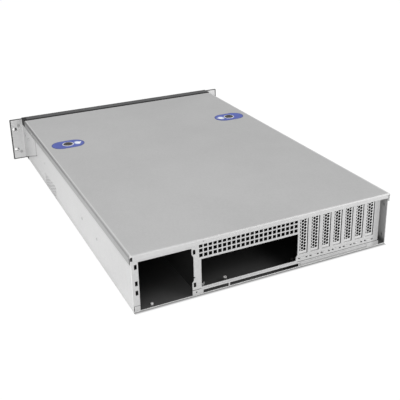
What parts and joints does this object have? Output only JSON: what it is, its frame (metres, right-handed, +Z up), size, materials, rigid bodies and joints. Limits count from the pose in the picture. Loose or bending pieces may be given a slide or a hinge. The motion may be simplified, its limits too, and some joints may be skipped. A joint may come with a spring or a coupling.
{
  "type": "rackmount server case",
  "caption": "Empty two-unit rackmount server case with lift-off top cover, fan wall, drive cage, slot covers, rack ears and handles.",
  "frame": {"origin": "centre of the bounding box's base", "axes": "+Z up, front with ears and handles towards -Y, rear panel towards +Y, +X is the left side seen from the rear"},
  "size_m": [0.4826, 0.688, 0.0894],
  "materials": {
    "zinc_steel": "satin zinc plate",
    "black_paint": "fine matt black",
    "standoff_steel": "nickel plated",
    "board": "solder mask",
    "black_plastic": "moulded",
    "clear_plastic": "clear",
    "screw_steel": "plated",
    "rivet_steel": "plated",
    "label_white": "printed",
    "label_blue": "printed film",
    "bright_ring": "turned",
    "spring_steel": "wire",
    "fan_plastic": "moulded",
    "handle_aluminium": "satin"
  },
  "bodies": {
    "case": {"chassis_base": "zinc_steel", "rear_sill": "zinc_steel", "rear_panel": "zinc_steel", "slot_rail": "zinc_steel", "front_frame": "black_paint", "fan_wall": "zinc_steel", "psu_divider": "zinc_steel", "drive_cage": "zinc_steel", "board_standoffs": "standoff_steel", "control_board": "board", "panel_switches": "black_plastic", "light_pipes": "clear_plastic", "slot_cover_screws": "screw_steel", "ear_screws": "screw_steel", "handle_screws": "screw_steel", "board_screws": "screw_steel", "wall_rivets": "rivet_steel", "slot_cover_1": "zinc_steel", "slot_cover_2": "zinc_steel", "slot_cover_3": "zinc_steel", "slot_cover_4": "zinc_steel", "slot_cover_5": "zinc_steel", "slot_cover_6": "zinc_steel", "slot_cover_7": "zinc_steel", "fan_frame_1": "fan_plastic", "fan_frame_2": "fan_plastic", "fan_frame_3": "fan_plastic", "release_cup_left": "black_plastic", "release_spring_left": "spring_steel", "ear_left": "zinc_steel", "handle_left": "handle_aluminium", "release_cup_right": "black_plastic", "release_spring_right": "spring_steel", "ear_right": "zinc_steel", "handle_right": "handle_aluminium"},
    "lid": {"top_cover": "zinc_steel", "release_label_left": "label_blue", "release_label_right": "label_blue", "release_ring_left": "bright_ring", "release_ring_right": "bright_ring", "label_marks": "label_white", "cover_screws": "screw_steel"},
    "release_left": {"release_button_left": "black_plastic"},
    "release_right": {"release_button_right": "black_plastic"},
    "power": {"power_button": "black_plastic"},
    "reset": {"reset_button": "black_plastic"},
    "rotor_1": {"fan_rotor_1": "fan_plastic"},
    "rotor_2": {"fan_rotor_2": "fan_plastic"},
    "rotor_3": {"fan_rotor_3": "fan_plastic"}
  },
  "joints": [
    {"name": "lid_lift", "type": "slide", "parent": "case", "child": "lid", "axis": [0, 0, 1], "range_m": [0, 0.15]},
    {"name": "release_left_press", "type": "slide", "parent": "case", "child": "release_left", "axis": [0, 0, -1], "range_m": [0, 0.004], "stiffness_N_per_m": 400, "deforming": ["release_spring_left"]},
    {"name": "release_right_press", "type": "slide", "parent": "case", "child": "release_right", "axis": [0, 0, -1], "range_m": [0, 0.004], "stiffness_N_per_m": 400, "deforming": ["release_spring_right"]},
    {"name": "power_press", "type": "slide", "parent": "case", "child": "power", "axis": [0, 1, 0], "range_m": [0, 0.0015], "stiffness_N_per_m": 800},
    {"name": "reset_press", "type": "slide", "parent": "case", "child": "reset", "axis": [0, 1, 0], "range_m": [0, 0.0015], "stiffness_N_per_m": 800},
    {"name": "fan_1_spin", "type": "hinge", "parent": "case", "child": "rotor_1", "pos_m": [-0.105, -0.1013, 0.0412], "axis": [0, 1, 0], "continuous": true},
    {"name": "fan_2_spin", "type": "hinge", "parent": "case", "child": "rotor_2", "pos_m": [0, -0.1013, 0.0412], "axis": [0, 1, 0], "continuous": true},
    {"name": "fan_3_spin", "type": "hinge", "parent": "case", "child": "rotor_3", "pos_m": [0.105, -0.1013, 0.0412], "axis": [0, 1, 0], "continuous": true}
  ]
}
